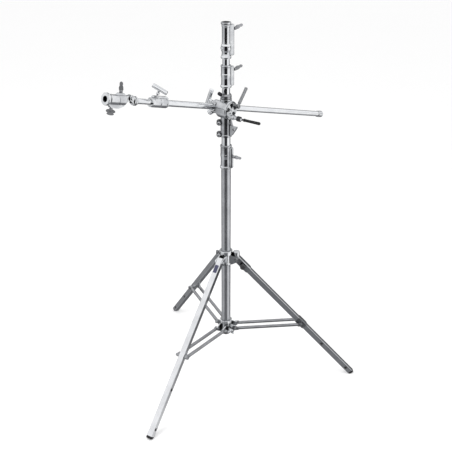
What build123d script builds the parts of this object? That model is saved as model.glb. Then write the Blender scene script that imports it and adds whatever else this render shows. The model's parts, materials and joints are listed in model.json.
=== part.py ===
from build123d import *
import os
from math import atan2, cos, degrees, hypot, radians, sin

# Steel light stand with a boom arm: a three-legged folding base, three risers and a tilting boom.
# Millimetres, +Z up. The origin is on the floor, under the middle of the stand's bounding box.

# ---- where the column stands in the stand's frame
COLUMN_X = -110.7
COLUMN_Y = -49.47

# ---- column tubes, outside diameters 50, 45, 40 and 35
BASE_RADIUS = 25.0
BASE_BORE = 23.0
RISER_RADII = (22.5, 20.0, 17.5)
RISER_BORES = (20.7, 18.2, 15.5)
PRESS_GAP = 0.05
SLIDE_GAP = 0.4
BUSH_GAP = 0.3
TUBE_BOTTOM = 262.0
RISER_BOTTOMS = (280.0, 298.0, 316.0)
BUSH_LENGTH = 8.0
BUSH_FLANGE = 6.0

# ---- heights on the column
BRACE_COLLAR_BOTTOM = 268.0
BRACE_COLLAR_TOP = 345.0
LEG_COLLAR_BOTTOM = 706.0
LEG_COLLAR_TOP = 787.0
BASE_CASTING_BOTTOM = 1268.0
BASE_CASTING_TOP = 1392.0
BRACKET_BOTTOM = 1438.0
BRACKET_TOP = 1637.0
HEAD_BOTTOM = 1638.5
HEAD_TOP = 1661.0
CASTING_LIP = 12.0
RISER_2_CASTING_BOTTOM = 1696.0
RISER_2_CASTING_TOP = 1806.0
RECEIVER_BOTTOM = 1841.0
RECEIVER_TOP = 2015.0
RECEIVER_GRIP = 64.0

# ---- lock screws of the column: the height where each one passes its tube
BASE_SCREW_Z = 1336.0
RISER_SCREWS = (0.0, 1782.0, 0.0)
RECEIVER_SCREW_Z = RECEIVER_TOP - 33.0
RIB_RADIUS = 8.5
RIB_REACH = 42.0
HEAD_KNOB_START = 16.0
HEAD_KNOB_Z = HEAD_BOTTOM + 11.0
HEAD_KNOB_RISE = 35.0
LEG_KNOB_AZIMUTH = 180.0
LEG_KNOB_Z = LEG_COLLAR_TOP - 15.0

# ---- legs: square tube, the centre line of a leg meets the column axis at LEG_APEX
LEG_AZIMUTHS = (0.0, 240.0, 120.0)
LEG_APEX = 803.0
FOOT_REACH = 733.0
LEG_WIDTH = 30.0
LEG_WALL = 2.0
LEG_PIVOT_REACH = 60.0
LEG_PIVOT_Z = LEG_APEX * (1.0 - LEG_PIVOT_REACH / FOOT_REACH)
LEG_ANGLE = degrees(atan2(FOOT_REACH, LEG_APEX))
LEG_LENGTH = hypot(FOOT_REACH - LEG_PIVOT_REACH, LEG_PIVOT_Z)
LEG_HEAD = 20.0
LEG_TUBE_END = LEG_LENGTH - 16.0
FOOT_THICKNESS = 13.0
FOOT_DEPTH = 40.0
LEG_HOLE_RADIUS = 6.5
LEG_PLUG_ALONG = LEG_LENGTH - 56.0
LEG_PLUG_RISE = 0.6
LEG_PLUG_RADIUS = 8.0
LEG_EARS = (19.0, 15.6, 15.6)
EAR_THICKNESS = 6.0
PIN_RADIUS = 5.0

# ---- braces: two round rods for each leg, one on each side of it
BRACE_PIVOT_REACH = 55.0
BRACE_PIVOT_Z = 301.0
BRACE_SHARE = 0.58
BRACE_TIP_REACH = BRACE_SHARE * FOOT_REACH
BRACE_TIP_Z = (1.0 - BRACE_SHARE) * LEG_APEX
BRACE_LENGTH = hypot(BRACE_TIP_REACH - BRACE_PIVOT_REACH, BRACE_TIP_Z - BRACE_PIVOT_Z)
BRACE_RISE = degrees(atan2(BRACE_TIP_Z - BRACE_PIVOT_Z, BRACE_TIP_REACH - BRACE_PIVOT_REACH))
BRACE_ROD_RADIUS = 8.8
BRACE_SPREADS = (28.0, 24.7, 24.7)
BRACE_EAR = 6.0
BRACE_PIN_RADIUS = 4.0
BRACE_FITTING = 18.0
BRACE_WING_AZIMUTH = -57.0
BRACE_WING_Z = 296.0

# ---- levelling leg: a sleeve near the top and a guide at the brace, both round leg 1
SLEEVE_WALL = 3.0
SLEEVE_GAP = 0.4
SLEEVE_HALF_WIDTH = LEG_WIDTH / 2 + SLEEVE_GAP + SLEEVE_WALL
LEVEL_SLEEVE_END = 95.0
LEVEL_GUIDE_HALF = 30.0
LEG_TO_BRACE = hypot(BRACE_TIP_REACH - LEG_PIVOT_REACH, LEG_PIVOT_Z - BRACE_TIP_Z)
MIDDLE_PLUG_ALONG = 0.6 * LEG_TO_BRACE + 0.4 * LEG_LENGTH
LEG_PLUGS = (LEG_PLUG_ALONG, MIDDLE_PLUG_ALONG)
LEVEL_CAP_REACH = 57.0
LEVEL_CAP_TOP = 779.0
LEVEL_KNOB_ALONG = 48.0

# ---- plain plate on leg 2
LABEL_ALONG = 45.0
LABEL_SIZE = (22.0, 44.0, 0.8)

# ---- boom
BOOM_AZIMUTH = 51.0
BOOM_TILT = 15.8
BOOM_OFFSET = 54.0
PIVOT_Z = 1583.0
BOOM_RADIUS = 15.0
BOOM_BORE = 13.0
INNER_RADIUS = 12.6
INNER_BORE = 10.6
BOOM_FRONT = -474.0
BOOM_TAIL = 934.0
TAIL_CAP_LENGTH = 40.0
BOOM_COLLAR_FRONT = -481.0
BOOM_COLLAR_BACK = -378.0
INNER_FRONT = -583.0
INNER_BACK = 540.0
RECEIVER_PIVOT = -606.0
SOCKET_FRONT = -754.0
SOCKET_BACK = -640.0
SOCKET_RADIUS = 14.3
SOCKET_DEPTH = 88.0
BOOM_SOCKET_DEPTH = 100.0
TOP_WING_ALONG = -668.0
LOW_WING_ALONG = -712.0
SLEEVE_HALF = 48.0
DRUM_RADIUS = 47.0
DRUM_FRONT = 34.0
DRUM_BACK = -29.5
SLEEVE_DRUM_RADIUS = 34.0
SLEEVE_DRUM_FRONT = -30.0
SLEEVE_DRUM_BACK = -78.0

SPIGOT_RADIUS = 14.0
PLATE_THICKNESS = 4.0
BRACKET_LUGS = (1451.0, 1513.0)
LUG_AZIMUTH = BOOM_AZIMUTH + 132.0
LUG_REACH = 36.0
LUG_HALF = 14.0
LUG_BOLT_RADIUS = 4.0
GUSSET_THICKNESS = 10.0
GUSSET_HOLE = (54.0, 1487.0, 0.0)
GUSSET_HOLE_RADIUS = 6.0
COVER_SCREW_CIRCLE = 30.0
COVER_SCREW_ANGLES = (85, 150, 300, 340)
COLLAR_SCREW = -458.0
COLLAR_TURN = 112.0
T_HANDLE_TURN = 22.0
SLEEVE_KNOB_TURN = -36.0
PIVOT_UP = 12.0

# ---- the two levers on the drum's face: distance along the boom and height above the tilt axis
LEVER_ALONG = -17.0
LEVER_HEIGHT = -26.0
LEVER_STUD = 6.0
LEVER_TIP = 20.5
LEVER_HUB_START = 92.0
LEVER_ROD_RADIUS = 5.0
LEVER_ROD_LENGTH = 110.0
ROD_ALONG = 30.0
ROD_HEIGHT = 17.0
ROD_SCREW_RADIUS = 5.0

# ---- screws
SCREW_RADIUS = 4.0
SCREW_GAP = 0.3
TIP_GAP = 0.5
LOCK_AZIMUTH = 24.0
BASE_LOCK_AZIMUTH = -28.0


# ======================= places and directions =======================

def outward(azimuth):
    """Unit vector that points away from the column."""
    return Vector(cos(radians(azimuth)), sin(radians(azimuth)), 0)


def level(z, azimuth=0.0):
    """Horizontal plane on the column axis, local x towards the azimuth."""
    return Plane(origin=(COLUMN_X, COLUMN_Y, z), x_dir=outward(azimuth), z_dir=(0, 0, 1))


def upright(azimuth, offset=0.0):
    """Vertical plane through the column axis: local x outwards, local y up from the floor."""
    side = outward(azimuth - 90.0)
    origin = Vector(COLUMN_X, COLUMN_Y, 0) + side * offset
    return Plane(origin=origin, x_dir=outward(azimuth), z_dir=side)


def radial(azimuth, reach, z, rise=0.0):
    """Plane that faces away from the column, tipped up by rise degrees."""
    out = outward(azimuth)
    normal = out * cos(radians(rise)) + Vector(0, 0, 1) * sin(radians(rise))
    origin = Vector(COLUMN_X, COLUMN_Y, z) + out * reach
    return Plane(origin=origin, x_dir=outward(azimuth + 90.0), z_dir=normal)


def pin_plane(azimuth, reach, z, side):
    """Plane across a leg at a pivot; side is the distance from the leg's middle plane."""
    place = upright(azimuth).from_local_coords((reach, z, side))
    return Plane(origin=place, x_dir=outward(azimuth), z_dir=upright(azimuth).z_dir)


def leg_section(leg, along):
    """Plane square to a leg, local z down the leg, local y towards its upper face."""
    azimuth = LEG_AZIMUTHS[leg]
    down = outward(azimuth) * sin(radians(LEG_ANGLE)) - Vector(0, 0, 1) * cos(radians(LEG_ANGLE))
    pivot = Vector(COLUMN_X, COLUMN_Y, LEG_PIVOT_Z) + outward(azimuth) * LEG_PIVOT_REACH
    return Plane(origin=pivot + down * along, x_dir=outward(azimuth + 90.0), z_dir=down)


def brace_section(leg, along, side):
    """Plane square to a brace rod, local z towards the leg; side is the sideways distance."""
    azimuth = LEG_AZIMUTHS[leg]
    out = outward(azimuth) * cos(radians(BRACE_RISE)) + Vector(0, 0, 1) * sin(radians(BRACE_RISE))
    pivot = Vector(COLUMN_X, COLUMN_Y, BRACE_PIVOT_Z) + outward(azimuth) * BRACE_PIVOT_REACH
    across = outward(azimuth + 90.0)
    return Plane(origin=pivot + out * along + across * side, x_dir=across, z_dir=out)


BOOM_SIDE = outward(BOOM_AZIMUTH - 90.0)
BOOM_LEVEL = outward(BOOM_AZIMUTH)
BOOM_WAY = BOOM_LEVEL * cos(radians(BOOM_TILT)) - Vector(0, 0, 1) * sin(radians(BOOM_TILT))
BOOM_UP = Vector(0, 0, 1) * cos(radians(BOOM_TILT)) + BOOM_LEVEL * sin(radians(BOOM_TILT))
BOOM_PIVOT = Vector(COLUMN_X, COLUMN_Y, PIVOT_Z) - BOOM_SIDE * BOOM_OFFSET


def boom_section(along):
    """Plane square to the boom: local z towards the tail, local y up, local x away from the drum."""
    return Plane(origin=BOOM_PIVOT + BOOM_WAY * along, x_dir=BOOM_SIDE * -1, z_dir=BOOM_WAY)


def boom_radial(along, turn, reach=0.0):
    """Plane that faces away from the boom axis at an angle above the side of the boom."""
    normal = BOOM_SIDE * -cos(radians(turn)) + BOOM_UP * sin(radians(turn))
    origin = BOOM_PIVOT + BOOM_WAY * along + normal * reach
    return Plane(origin=origin, x_dir=BOOM_WAY, z_dir=normal)


def boom_side(along, across):
    """Plane that faces sideways from the boom axis: local x along the boom, local y up."""
    return Plane(origin=BOOM_PIVOT + BOOM_WAY * along + BOOM_SIDE * across, x_dir=BOOM_WAY, z_dir=BOOM_SIDE)


def boom_pin(side):
    """Plane across the boom on the receiver's pivot line."""
    place = boom_side(0, 0).from_local_coords((RECEIVER_PIVOT, PIVOT_UP, side))
    return Plane(origin=place, x_dir=BOOM_WAY, z_dir=BOOM_SIDE)


def drum_face(across, along=0.0, height=0.0):
    """Plane on the tilt axis: local z out of the drum's face, local x along the boom, local y up."""
    origin = Vector(COLUMN_X, COLUMN_Y, PIVOT_Z + height) + BOOM_SIDE * across + BOOM_LEVEL * along
    return Plane(origin=origin, x_dir=BOOM_LEVEL, z_dir=BOOM_SIDE)


def leg_side(leg, along):
    """Plane on one side face of a leg, local z across the leg towards its other side."""
    across = leg_section(leg, along)
    origin = across.origin - across.x_dir * (LEG_WIDTH / 2)
    return Plane(origin=origin, x_dir=across.z_dir, z_dir=across.x_dir)


def lug_bolt(z, across):
    """Plane on the line of a clamp bolt of the bracket's split sleeve, local x away from the column."""
    lugs = upright(LUG_AZIMUTH)
    return Plane(origin=lugs.from_local_coords((LUG_REACH, z, across)), x_dir=lugs.x_dir, z_dir=lugs.z_dir)


# ======================= shapes that repeat =======================

def rod(plane, radius, length, mode=Mode.ADD):
    """Round bar, or a round hole, out of a plane."""
    with BuildSketch(plane) as section:
        Circle(radius)
    extrude(section.sketch, amount=length, mode=mode)


def ring(plane, radius, bore, length, mode=Mode.ADD):
    """Round tube out of a plane."""
    with BuildSketch(plane) as section:
        Circle(radius)
        Circle(bore, mode=Mode.SUBTRACT)
    extrude(section.sketch, amount=length, mode=mode)


def block(plane, width, depth, length, mode=Mode.ADD, corner=0.0):
    """Rectangular bar out of a plane, width along its x."""
    with BuildSketch(plane) as section:
        if corner > 0.0:
            RectangleRounded(width, depth, corner)
        else:
            Rectangle(width, depth)
    extrude(section.sketch, amount=length, mode=mode)


def hexagon(plane, radius, length, mode=Mode.ADD):
    """Hexagonal bar out of a plane."""
    with BuildSketch(plane) as section:
        RegularPolygon(radius, 6)
    extrude(section.sketch, amount=length, mode=mode)


def dome(plane, radius, height):
    """Round bolt head with a domed top, out of a plane."""
    shoulder = [(0, 0), (radius, 0), (radius, 0.40 * height), (0.88 * radius, 0.70 * height)]
    crown = [(0.66 * radius, 0.88 * height), (0.36 * radius, 0.97 * height), (0, height)]
    turned(Plane(origin=plane.origin, x_dir=plane.x_dir, z_dir=plane.y_dir * -1), shoulder + crown)


def plate(plane, corners, thickness, mode=Mode.ADD):
    """Flat plate with straight sides out of a plane."""
    with BuildSketch(plane) as section:
        with BuildLine():
            Polyline(*corners, close=True)
        make_face()
    extrude(section.sketch, amount=thickness, mode=mode)


def turned(plane, corners, mode=Mode.ADD):
    """Turned piece: the outline is spun about the plane's local y axis."""
    with BuildSketch(plane) as section:
        with BuildLine():
            Polyline(*corners, close=True)
        make_face()
    revolve(section.sketch, axis=Axis(plane.origin, plane.y_dir), mode=mode)


def save(part, name):
    """Label a finished piece and write its file."""
    part.label = name
    export_step(part, f"parts/{name}.step")


def spun(plane, turn):
    """The same plane, turned about its own normal."""
    x_dir = plane.x_dir * cos(radians(turn)) + plane.y_dir * sin(radians(turn))
    return Plane(origin=plane.origin, x_dir=x_dir, z_dir=plane.z_dir)


def along_axis(seat):
    """Plane that holds the seat's local z as its own local y, for turning a piece on the seat."""
    return Plane(origin=seat.origin, x_dir=seat.x_dir, z_dir=seat.y_dir * -1)


def wing_screw(name, seat, shank, wing=44.0, span=19.0, turn=0.0, bend=0.0):
    """Screw with a flat two-lobed wing, bent to one side. The seat is at its tip and faces outwards."""
    seat = spun(seat, turn)
    root = along_axis(seat.offset(shank + 3)).offset(-2.5)
    with BuildPart() as screw:
        rod(seat, SCREW_RADIUS, shank)
        hub = [(0, shank), (7.5, shank), (7.5, shank + 8), (5, shank + 14), (0, shank + 14)]
        turned(along_axis(seat), hub)
        with BuildSketch(spun(root, -bend)) as leaf:
            with Locations((0, 0.36 * wing)):
                Ellipse(0.50 * span, 0.33 * wing)
            with Locations((0, 0.78 * wing)):
                Ellipse(0.38 * span, 0.22 * wing)
        extrude(leaf.sketch, amount=5.0)
    save(screw.part, name)


def t_handle(name, seat, shank, bar_radius, bar_length, turn):
    """Screw with a fat cross bar. The seat is at the screw's tip and faces outwards."""
    seat = spun(seat, turn)
    middle = seat.origin + seat.z_dir * (shank + 16 + bar_radius)
    half = bar_length / 2
    groove = half - 9
    with BuildPart() as handle:
        rod(seat, SCREW_RADIUS, shank + 6)
        turned(
            along_axis(seat),
            [
                (0, shank),
                (8, shank),
                (8, shank + 5),
                (6, shank + 8),
                (6, shank + 20),
                (0, shank + 20),
            ],
        )
        turned(
            Plane(origin=middle, x_dir=seat.z_dir, z_dir=seat.y_dir * -1),
            [
                (0, -half),
                (bar_radius - 2, -half),
                (bar_radius, -half + 2),
                (bar_radius, -groove - 2),
                (bar_radius - 1.5, -groove),
                (bar_radius, -groove + 2),
                (bar_radius, groove - 2),
                (bar_radius - 1.5, groove),
                (bar_radius, groove + 2),
                (bar_radius, half - 2),
                (bar_radius - 2, half),
                (0, half),
            ],
        )
    save(handle.part, name)


def round_knob(name, seat, shank, radius, length):
    """Screw with a fluted round knob. The seat is at the screw's tip and faces outwards."""
    flute = radius * 0.22
    with BuildPart() as knob:
        rod(seat, SCREW_RADIUS, shank + 2)
        rod(seat.offset(shank), radius * 0.55, 4.0)
        rod(seat.offset(shank + 4), radius, length)
        chamfer(knob.faces().sort_by(Axis(seat.origin, seat.z_dir))[-1].edges(), 1.5)
        with BuildSketch(seat.offset(shank + 4)) as flutes:
            with PolarLocations(radius + flute * 0.35, 8):
                Circle(flute)
        extrude(flutes.sketch, amount=length, mode=Mode.SUBTRACT)
    save(knob.part, name)


# ======================= column =======================

def make_tube(name, radius, bore, bottom, top, azimuth, screw_z):
    """Round tube on the column, with a hole for the lock screw where one passes through it."""
    with BuildPart() as tube:
        ring(level(bottom), radius, bore, top - bottom)
        if bottom < screw_z < top:
            rod(radial(azimuth, 0, screw_z), SCREW_RADIUS + SCREW_GAP, radius + 5, mode=Mode.SUBTRACT)
    save(tube.part, name)


def lock_rib(azimuth, low, high):
    """Upright rib with a round nose that holds a lock screw, from the column axis outwards."""
    middle = RIB_REACH - RIB_RADIUS
    with BuildPart() as rib:
        with BuildSketch(level(low, azimuth)) as section:
            with Locations((middle / 2, 0)):
                Rectangle(middle, 2 * RIB_RADIUS)
            with Locations((middle, 0)):
                Circle(RIB_RADIUS)
        extrude(section.sketch, amount=high - low)
        chamfer(rib.faces().filter_by(Axis.Z).edges(), 3.0)
    return rib.part


def lock_casting(name, bottom, top, tube_radius, riser_radius, barrel, azimuth, screw_z):
    """Cast collar on the top of a tube, with a rib that holds the lock screw of the next riser."""
    height = top - bottom
    tube_top = top - CASTING_LIP
    with BuildPart() as casting:
        turned(
            upright(azimuth),
            [
                (0, bottom),
                (barrel + 2, bottom),
                (barrel + 3, bottom + 3),
                (barrel + 3, bottom + 8),
                (barrel - 0.5, bottom + 14),
                (barrel - 1.5, bottom + 0.42 * height),
                (barrel, bottom + 0.50 * height),
                (barrel + 1, bottom + 0.56 * height),
                (barrel + 1, bottom + 0.60 * height),
                (barrel, bottom + 0.64 * height),
                (barrel, top - 9),
                (barrel + 2, top - 6),
                (barrel + 2, top - 1.5),
                (barrel + 0.5, top),
                (0, top),
            ],
        )
        add(lock_rib(azimuth, bottom + 6, top - 7))
        rod(level(bottom - 1), tube_radius + PRESS_GAP, tube_top - bottom + 1, mode=Mode.SUBTRACT)
        rod(level(tube_top - 1), riser_radius + SLIDE_GAP, CASTING_LIP + 2, mode=Mode.SUBTRACT)
        rod(radial(azimuth, 0, screw_z), SCREW_RADIUS + SCREW_GAP, RIB_REACH + 5, mode=Mode.SUBTRACT)
    save(casting.part, name)


def make_column():
    """Base tube and its plug, and the three risers with the plastic guides on their feet."""
    base_top = BASE_CASTING_TOP - CASTING_LIP
    make_tube("base_tube", BASE_RADIUS, BASE_BORE, TUBE_BOTTOM, base_top, BASE_LOCK_AZIMUTH, BASE_SCREW_Z)
    with BuildPart() as plug:
        rod(level(TUBE_BOTTOM - 9), BASE_RADIUS, 9)
        chamfer(plug.faces().sort_by(Axis.Z)[0].edges(), 3)
        rod(level(TUBE_BOTTOM), BASE_BORE - PRESS_GAP, 8)
    save(plug.part, "column_foot_plug")
    tops = (HEAD_TOP - CASTING_LIP, RISER_2_CASTING_TOP - CASTING_LIP, RECEIVER_BOTTOM + RECEIVER_GRIP)
    guide = BASE_BORE - BUSH_GAP
    for number in range(3):
        name = f"riser_{number + 1}"
        bottom = RISER_BOTTOMS[number]
        bore = RISER_BORES[number]
        make_tube(name, RISER_RADII[number], bore, bottom, tops[number], LOCK_AZIMUTH, RISER_SCREWS[number])
        with BuildPart() as bush:
            rod(level(bottom - BUSH_FLANGE), guide, BUSH_FLANGE)
            rod(level(bottom), bore - PRESS_GAP, BUSH_LENGTH)
            rod(level(bottom - BUSH_FLANGE), guide - 6, BUSH_LENGTH + BUSH_FLANGE, mode=Mode.SUBTRACT)
        save(bush.part, name + "_bush")
        guide = bore - BUSH_GAP


def make_castings():
    """The two lock castings of the column and their wing screws."""
    riser = RISER_RADII[0]
    tip = riser + TIP_GAP
    lock_casting(
        "base_casting",
        BASE_CASTING_BOTTOM,
        BASE_CASTING_TOP,
        BASE_RADIUS,
        riser,
        28.0,
        BASE_LOCK_AZIMUTH,
        BASE_SCREW_Z,
    )
    seat = radial(BASE_LOCK_AZIMUTH, tip, BASE_SCREW_Z)
    wing_screw("base_lock_wing", seat, RIB_REACH + 1.0 - tip, turn=60)
    tube = RISER_RADII[1]
    riser = RISER_RADII[2]
    screw_z = RISER_SCREWS[1]
    tip = riser + TIP_GAP
    lock_casting(
        "riser_2_casting",
        RISER_2_CASTING_BOTTOM,
        RISER_2_CASTING_TOP,
        tube,
        riser,
        24.5,
        LOCK_AZIMUTH,
        screw_z,
    )
    seat = radial(LOCK_AZIMUTH, tip, screw_z)
    wing_screw("riser_3_lock_wing", seat, RIB_REACH + 1.0 - tip, turn=80, bend=20)


def make_top_receiver():
    """Socket casting on riser 3: the socket at the top takes a 28.6 mm stud."""
    z0 = RECEIVER_BOTTOM
    z1 = RECEIVER_TOP
    outline = [
        (0, z0),
        (25, z0),
        (26, z0 + 3),
        (26, z0 + 7),
        (22, z0 + 14),
        (20.5, z0 + 22),
        (20.5, z0 + 30),
        (24.5, z0 + 40),
        (24.5, z0 + 62),
        (21, z0 + 70),
        (20, z0 + 80),
        (20, z1 - 24),
        (21.5, z1 - 20),
        (21.5, z1 - 16),
        (20.5, z1 - 13),
        (24, z1 - 9),
        (25, z1 - 7),
        (25, z1 - 2),
        (24, z1),
        (0, z1),
    ]
    with BuildPart() as casting:
        turned(upright(LOCK_AZIMUTH), outline)
        add(lock_rib(LOCK_AZIMUTH, z0 + 12, z1 - 12))
        rod(radial(LOCK_AZIMUTH + 200, 0, z0 + 52), 8, 29)
        rod(radial(LOCK_AZIMUTH - 80, 0, z0 + 50), 7, 30)
        rod(level(z0 - 1), RISER_RADII[2] + PRESS_GAP, RECEIVER_GRIP + 1, mode=Mode.SUBTRACT)
        rod(level(z1 - SOCKET_DEPTH), SOCKET_RADIUS, SOCKET_DEPTH + 1, mode=Mode.SUBTRACT)
        screw_hole = radial(LOCK_AZIMUTH, 0, RECEIVER_SCREW_Z)
        rod(screw_hole, SCREW_RADIUS + SCREW_GAP, RIB_REACH + 5, mode=Mode.SUBTRACT)
    save(casting.part, "top_receiver")
    seat = radial(LOCK_AZIMUTH, SOCKET_RADIUS + 0.7, RECEIVER_SCREW_Z)
    wing_screw("receiver_lock_wing", seat, RIB_REACH - SOCKET_RADIUS + 0.3, turn=80, bend=20)


def make_riser_1_head():
    """Small clamp ring on the top of riser 1, with a knob that points up and away."""
    bore = RISER_RADII[0] + PRESS_GAP
    knob = radial(BOOM_AZIMUTH + 180, HEAD_KNOB_START, HEAD_KNOB_Z, HEAD_KNOB_RISE)
    with BuildPart() as head:
        turned(
            upright(0),
            [
                (0, HEAD_BOTTOM),
                (27, HEAD_BOTTOM),
                (28, HEAD_BOTTOM + 2),
                (28, HEAD_TOP - 6),
                (25, HEAD_TOP),
                (0, HEAD_TOP),
            ],
        )
        rod(knob, 8.5, 26)
        rod(level(HEAD_BOTTOM - 1), bore, HEAD_TOP - CASTING_LIP - HEAD_BOTTOM + 1, mode=Mode.SUBTRACT)
        rod(level(HEAD_BOTTOM - 1), RISER_RADII[1] + SLIDE_GAP, 60, mode=Mode.SUBTRACT)
        rod(knob, SCREW_RADIUS + SCREW_GAP, 40, mode=Mode.SUBTRACT)
    save(head.part, "riser_1_head")
    round_knob("riser_2_lock_knob", knob.offset(11), 15.6, 9.0, 15.0)


# ======================= legs and braces =======================

def make_leg_collar():
    """Collar that slides on the base tube, with two ears for each leg, its bolts and its lock knob."""
    z0 = LEG_COLLAR_BOTTOM
    z1 = LEG_COLLAR_TOP
    barrel = 31.0
    knob = radial(LEG_KNOB_AZIMUTH, 0, LEG_KNOB_Z)
    with BuildPart() as collar:
        turned(
            upright(0),
            [
                (0, z0),
                (34, z0),
                (35, z0 + 2),
                (35, z0 + 9),
                (barrel, z0 + 14),
                (barrel, z1 - 26),
                (35, z1 - 22),
                (35, z1 - 2),
                (34, z1),
                (0, z1),
            ],
        )
        for leg, azimuth in enumerate(LEG_AZIMUTHS):
            for side in (LEG_EARS[leg], -LEG_EARS[leg] - EAR_THICKNESS):
                with BuildSketch(upright(azimuth, side)) as ear:
                    with Locations((LEG_PIVOT_REACH, LEG_PIVOT_Z)):
                        Circle(15)
                    with BuildLine():
                        Polyline(
                            (21, LEG_PIVOT_Z - 28),
                            (33, LEG_PIVOT_Z - 28),
                            (LEG_PIVOT_REACH + 9, LEG_PIVOT_Z - 12),
                            (LEG_PIVOT_REACH + 9, LEG_PIVOT_Z + 12),
                            (LEG_PIVOT_REACH, LEG_PIVOT_Z + 15),
                            (21, LEG_PIVOT_Z + 30),
                            close=True,
                        )
                    make_face()
                extrude(ear.sketch, amount=EAR_THICKNESS)
        rod(knob, 11, 37)
        rod(level(z0 - 1), BASE_RADIUS + SLIDE_GAP, z1 - z0 + 2, mode=Mode.SUBTRACT)
        rod(knob, SCREW_RADIUS + SCREW_GAP, 50, mode=Mode.SUBTRACT)
        for azimuth in LEG_AZIMUTHS:
            start = pin_plane(azimuth, LEG_PIVOT_REACH, LEG_PIVOT_Z, -40)
            rod(start, PIN_RADIUS + 0.1, 80, mode=Mode.SUBTRACT)
    save(collar.part, "leg_collar")
    round_knob("leg_collar_knob", knob.offset(BASE_RADIUS + TIP_GAP), 12.0, 10.5, 13.0)


def hex_bolt(azimuth, reach, z, inner, outer, radius, head):
    """Bolt on the pivot line from inner to outer, with a hexagon head at the outer end."""
    length = outer - inner
    way = 1 if length > 0 else -1
    plane = pin_plane(azimuth, reach, z, inner)
    end = pin_plane(azimuth, reach, z, outer)
    rod(plane, radius, length)
    hexagon(end, head, 6.0 * way)


def make_bolts():
    """Pivot bolts of the legs, on the leg collar, and of the braces, on the brace collar."""
    with BuildPart() as leg_bolts:
        for leg, azimuth in enumerate(LEG_AZIMUTHS):
            face = LEG_EARS[leg] + EAR_THICKNESS
            start = SLEEVE_HALF_WIDTH + 0.2 if leg == 0 else 0.0
            for way in (1, -1):
                hex_bolt(azimuth, LEG_PIVOT_REACH, LEG_PIVOT_Z, way * start, way * face, PIN_RADIUS, 9.0)
    save(leg_bolts.part, "leg_pivot_bolts")
    with BuildPart() as brace_bolts:
        for leg, azimuth in enumerate(LEG_AZIMUTHS):
            start = BRACE_SPREADS[leg] - 7.5
            end = BRACE_SPREADS[leg] + 8.5
            radius = BRACE_PIN_RADIUS
            for way in (1, -1):
                hex_bolt(azimuth, BRACE_PIVOT_REACH, BRACE_PIVOT_Z, way * start, way * end, radius, 7.0)
    save(brace_bolts.part, "brace_pivot_bolts")


def make_brace_collar():
    """Fixed collar at the foot of the base tube: two ears for each brace, and the wing that clamps it."""
    z0 = BRACE_COLLAR_BOTTOM
    z1 = BRACE_COLLAR_TOP
    wing = radial(BRACE_WING_AZIMUTH, 0, BRACE_WING_Z)
    with BuildPart() as collar:
        turned(
            upright(0),
            [
                (0, z0),
                (34, z0),
                (36, z0 + 3),
                (36, z0 + 16),
                (31, z0 + 22),
                (31, z1 - 20),
                (34, z1 - 16),
                (34, z1 - 2),
                (32, z1),
                (0, z1),
            ],
        )
        for leg, azimuth in enumerate(LEG_AZIMUTHS):
            inner = BRACE_SPREADS[leg] - 7.5
            for side in (inner, -inner - BRACE_EAR):
                with BuildSketch(upright(azimuth, side)) as ear:
                    with Locations((BRACE_PIVOT_REACH, BRACE_PIVOT_Z)):
                        Circle(12)
                    with BuildLine():
                        Polyline(
                            (18, BRACE_PIVOT_Z - 30),
                            (32, BRACE_PIVOT_Z - 30),
                            (BRACE_PIVOT_REACH + 6, BRACE_PIVOT_Z - 10.4),
                            (BRACE_PIVOT_REACH + 6, BRACE_PIVOT_Z + 10.4),
                            (BRACE_PIVOT_REACH, BRACE_PIVOT_Z + 12),
                            (18, BRACE_PIVOT_Z + 24),
                            close=True,
                        )
                    make_face()
                extrude(ear.sketch, amount=BRACE_EAR)
            start = pin_plane(azimuth, BRACE_PIVOT_REACH, BRACE_PIVOT_Z, -40)
            rod(start, BRACE_PIN_RADIUS + 0.1, 80, mode=Mode.SUBTRACT)
        rod(wing, 10, 43)
        rod(level(z0 - 1), BASE_RADIUS + PRESS_GAP, z1 - z0 + 2, mode=Mode.SUBTRACT)
        rod(wing, SCREW_RADIUS + SCREW_GAP, 50, mode=Mode.SUBTRACT)
    save(collar.part, "brace_collar")
    wing_screw("brace_collar_wing", wing.offset(BASE_RADIUS + TIP_GAP), 18.0, wing=40.0, span=22.0, turn=60)


def make_leg(leg):
    """Square tube of one leg, with its pivot hole and the holes near its foot."""
    inner = LEG_WIDTH - 2 * LEG_WALL
    length = LEG_HEAD + LEG_TUBE_END
    holes = [(along, LEG_HOLE_RADIUS) for along in LEG_PLUGS]
    if leg > 0:
        holes.append((0.0, PIN_RADIUS + 0.3))
    with BuildPart() as tube:
        block(leg_section(leg, -LEG_HEAD), LEG_WIDTH, LEG_WIDTH, length, corner=3.0)
        block(leg_section(leg, -LEG_HEAD - 1), inner, inner, length + 2, mode=Mode.SUBTRACT, corner=1.5)
        for along, radius in holes:
            rod(leg_side(leg, along).offset(-1), radius, LEG_WIDTH + 2, mode=Mode.SUBTRACT)
    save(tube.part, f"leg_{leg + 1}")


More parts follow.
